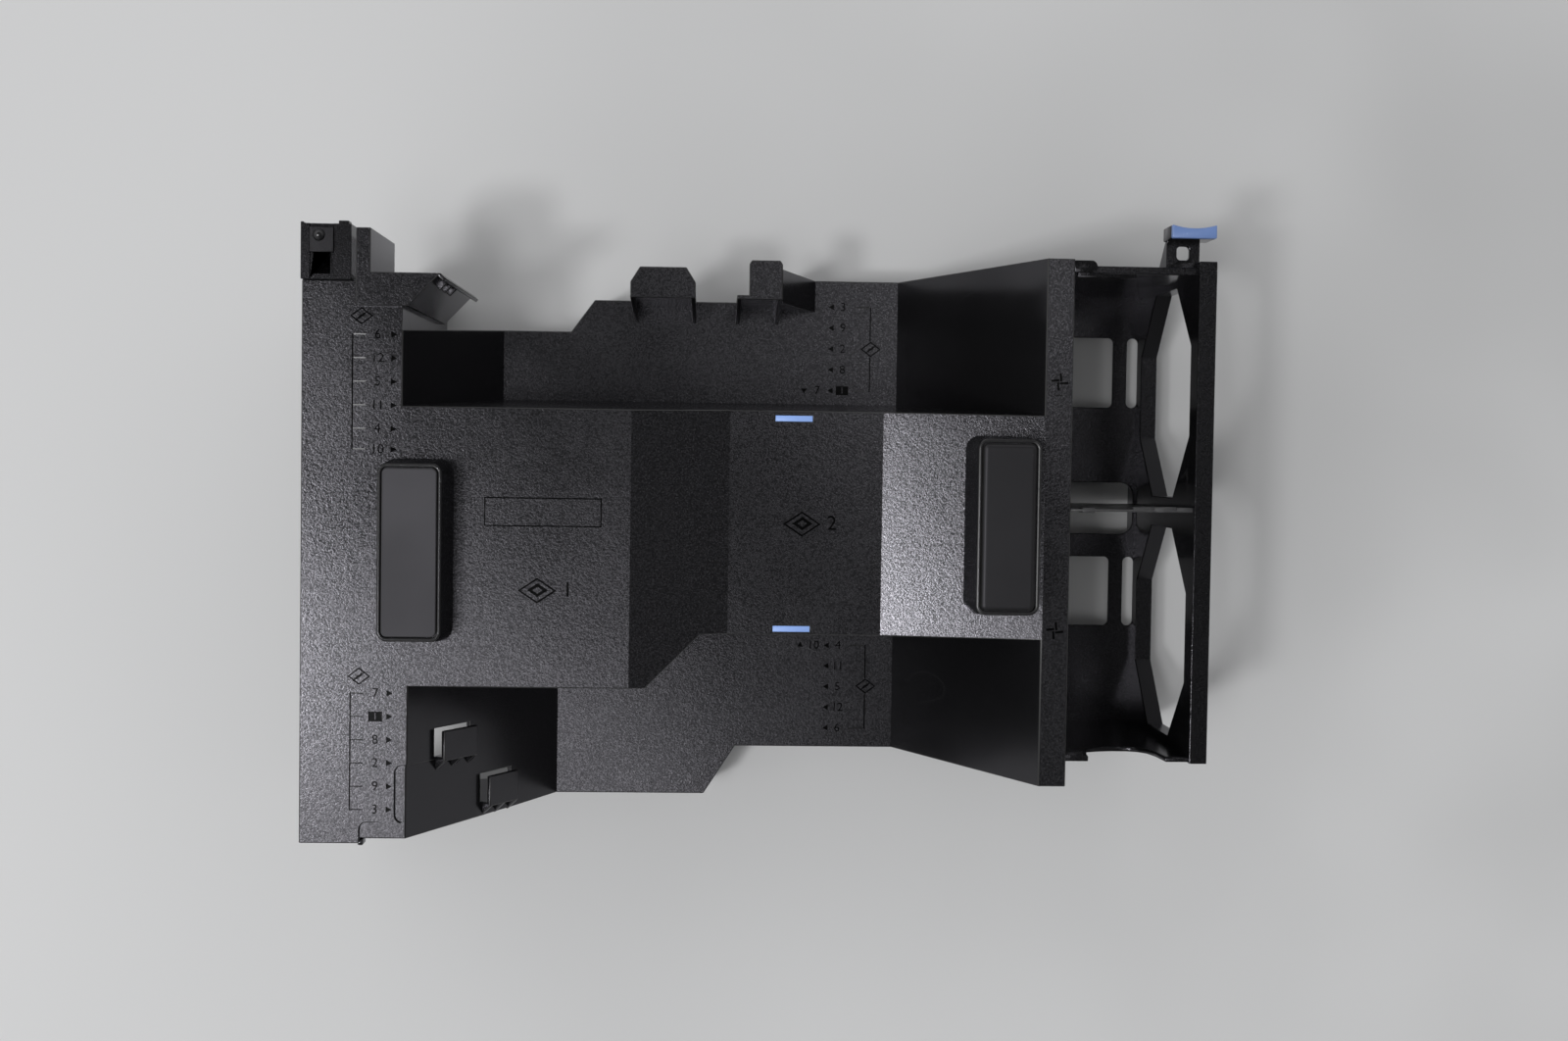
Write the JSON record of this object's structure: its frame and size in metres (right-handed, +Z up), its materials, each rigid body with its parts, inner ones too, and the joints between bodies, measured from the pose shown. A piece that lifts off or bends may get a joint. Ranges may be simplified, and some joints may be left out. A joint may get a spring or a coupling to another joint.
{
  "type": "server air baffle shroud",
  "caption": "Moulded server air shroud: a raised channel over two processor bays, low side decks, a rear plenum and an open-topped cage for fans.",
  "frame": {"origin": "middle of the base, on the surface the shroud stands on", "axes": "+X from the rear plenum to the fan cage, +Y across the duct to the latch side, +Z up out of the roof"},
  "size_m": [0.368, 0.255, 0.1454],
  "materials": {
    "cover": "charcoal plastic, fine spark texture",
    "cage": "smooth semi-gloss black plastic",
    "divider": "thin smooth black sheet",
    "pad": "smooth dull rubber, lightly scuffed",
    "touch_blue": "satin light blue",
    "bracket": "dark plastic with a light grain",
    "block": "smooth dark grey plastic",
    "stud": "smooth domed head"
  },
  "bodies": {
    "root": {"shroud_cover": "cover", "fan_cage": "cage", "fan_divider": "divider", "rear_pad": "pad", "front_pad": "pad", "north_touch_mark": "touch_blue", "south_touch_mark": "touch_blue", "latch_cap": "touch_blue", "corner_bracket": "bracket", "switch_block": "block", "bracket_stud": "stud"}
  },
  "joints": []
}
